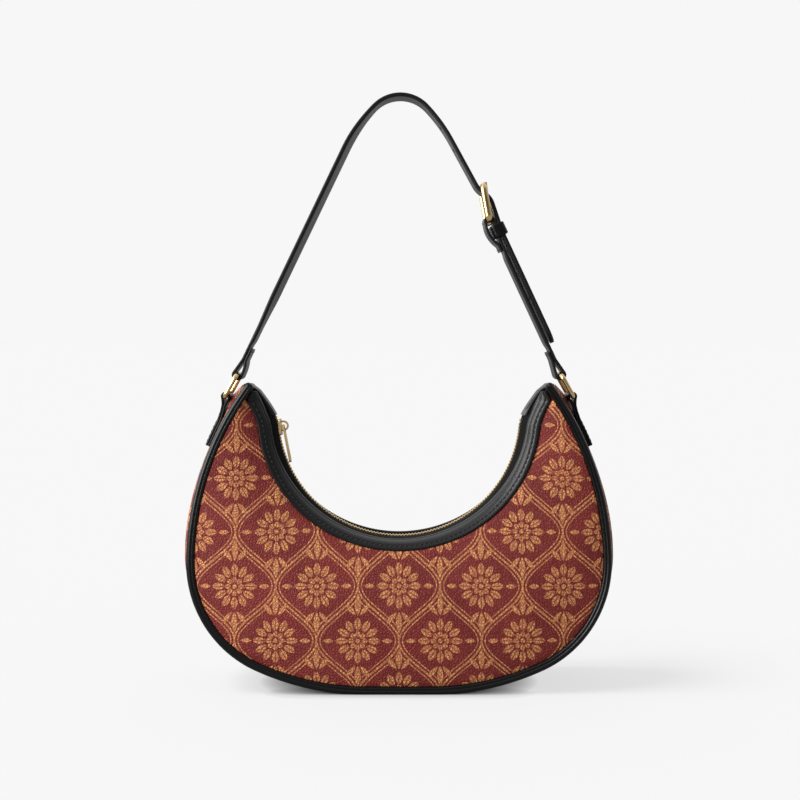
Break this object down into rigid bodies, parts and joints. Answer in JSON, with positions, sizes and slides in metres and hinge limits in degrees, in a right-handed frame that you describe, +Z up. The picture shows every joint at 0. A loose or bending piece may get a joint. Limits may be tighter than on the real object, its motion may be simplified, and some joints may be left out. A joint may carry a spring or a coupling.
{
  "type": "half moon bag",
  "caption": "Crescent shoulder bag in printed leather with piped edges, a curved metal zip with slider and puller, and a buckled strap hung on wire rings.",
  "frame": {"origin": "middle of the base, on the surface that the bag stands on", "axes": "+Z up to the top of the strap, +X to the right in the front view, the front faces -Y"},
  "size_m": [0.2906, 0.0626, 0.3986],
  "materials": {
    "printed_leather": "pebbled burgundy leather with an ochre print",
    "black_leather": "smooth black leather with painted edges",
    "gold_metal": "polished pale gold",
    "zip_tape": "woven tape",
    "lining_cloth": "plain weave",
    "piping_core": "twisted cotton",
    "stiffener": "plain board"
  },
  "bodies": {
    "bag": {"front_panel": "printed_leather", "back_panel": "printed_leather", "gusset": "printed_leather", "front_piping": "black_leather", "back_piping": "black_leather", "front_piping_cord": "piping_core", "back_piping_cord": "piping_core", "front_zip_band": "black_leather", "back_zip_band": "black_leather", "zip_tape_front": "zip_tape", "zip_tape_back": "zip_tape", "zip_teeth_front": "gold_metal", "zip_teeth_back": "gold_metal", "zip_top_stops": "gold_metal", "zip_bottom_stop": "gold_metal", "zip_end_tab_left": "black_leather", "zip_end_tab_right": "black_leather", "lining_front": "lining_cloth", "lining_back": "lining_cloth", "lining_gusset": "lining_cloth", "inner_pocket": "lining_cloth", "base_board": "stiffener", "chape_left": "black_leather", "chape_right": "black_leather"},
    "zip_slider": {"zip_slider": "gold_metal"},
    "zip_puller": {"zip_puller": "gold_metal"},
    "left_ring": {"ring_left": "gold_metal"},
    "left_strap_end": {"strap_long_end": "black_leather", "strap_long_flex": "black_leather"},
    "strap": {"strap_long": "black_leather", "strap_short": "black_leather", "buckle_frame": "gold_metal", "strap_keeper": "black_leather"},
    "right_strap_end": {"strap_short_end": "black_leather", "strap_short_flex": "black_leather"},
    "right_ring": {"ring_right": "gold_metal"},
    "buckle_prong": {"buckle_prong": "gold_metal"}
  },
  "joints": [
    {"name": "zip_travel", "type": "hinge", "parent": "bag", "child": "zip_slider", "pos_m": [0, 0, 0.181], "axis": [0, -1, 0], "range_deg": [0, 164], "deforming": ["zip_teeth_front", "zip_teeth_back"]},
    {"name": "puller_swing", "type": "hinge", "parent": "zip_slider", "child": "zip_puller", "pos_m": [-0.07867, 0, 0.17323], "axis": [0, -1, 0], "range_deg": [0, 150]},
    {"name": "ring_left_swing", "type": "hinge", "parent": "bag", "child": "left_ring", "pos_m": [-0.117, 0, 0.1935], "axis": [0, 1, 0], "range_deg": [-9, 9]},
    {"name": "strap_left_turn", "type": "hinge", "parent": "left_ring", "child": "left_strap_end", "pos_m": [-0.109, 0, 0.2082], "axis": [0, 1, 0], "range_deg": [-10, 10]},
    {"name": "strap_flop", "type": "hinge", "parent": "left_strap_end", "child": "strap", "pos_m": [0, 0, 0.2222], "axis": [1, 0, 0], "range_deg": [-90, 90], "deforming": ["strap_long_flex"]},
    {"name": "right_strap_flop", "type": "hinge", "parent": "strap", "child": "right_strap_end", "pos_m": [0, 0, 0.2222], "axis": [1, 0, 0], "range_deg": [-91, 91], "deforming": ["strap_short_flex"]},
    {"name": "ring_right_swing", "type": "hinge", "parent": "right_strap_end", "child": "right_ring", "pos_m": [0.109, 0, 0.2082], "axis": [0, 1, 0], "range_deg": [-10, 10]},
    {"name": "prong_swing", "type": "hinge", "parent": "strap", "child": "buckle_prong", "pos_m": [0.0609, 0, 0.312], "axis": [0, 1, 0], "range_deg": [0, 5]}
  ],
  "couplings": [
    {"joint": "strap_left_turn", "follows": "ring_left_swing", "ratio": -1.0734},
    {"joint": "ring_right_swing", "follows": "ring_left_swing", "ratio": 1.0734},
    {"joint": "right_strap_flop", "follows": "strap_flop", "ratio": -1}
  ]
}
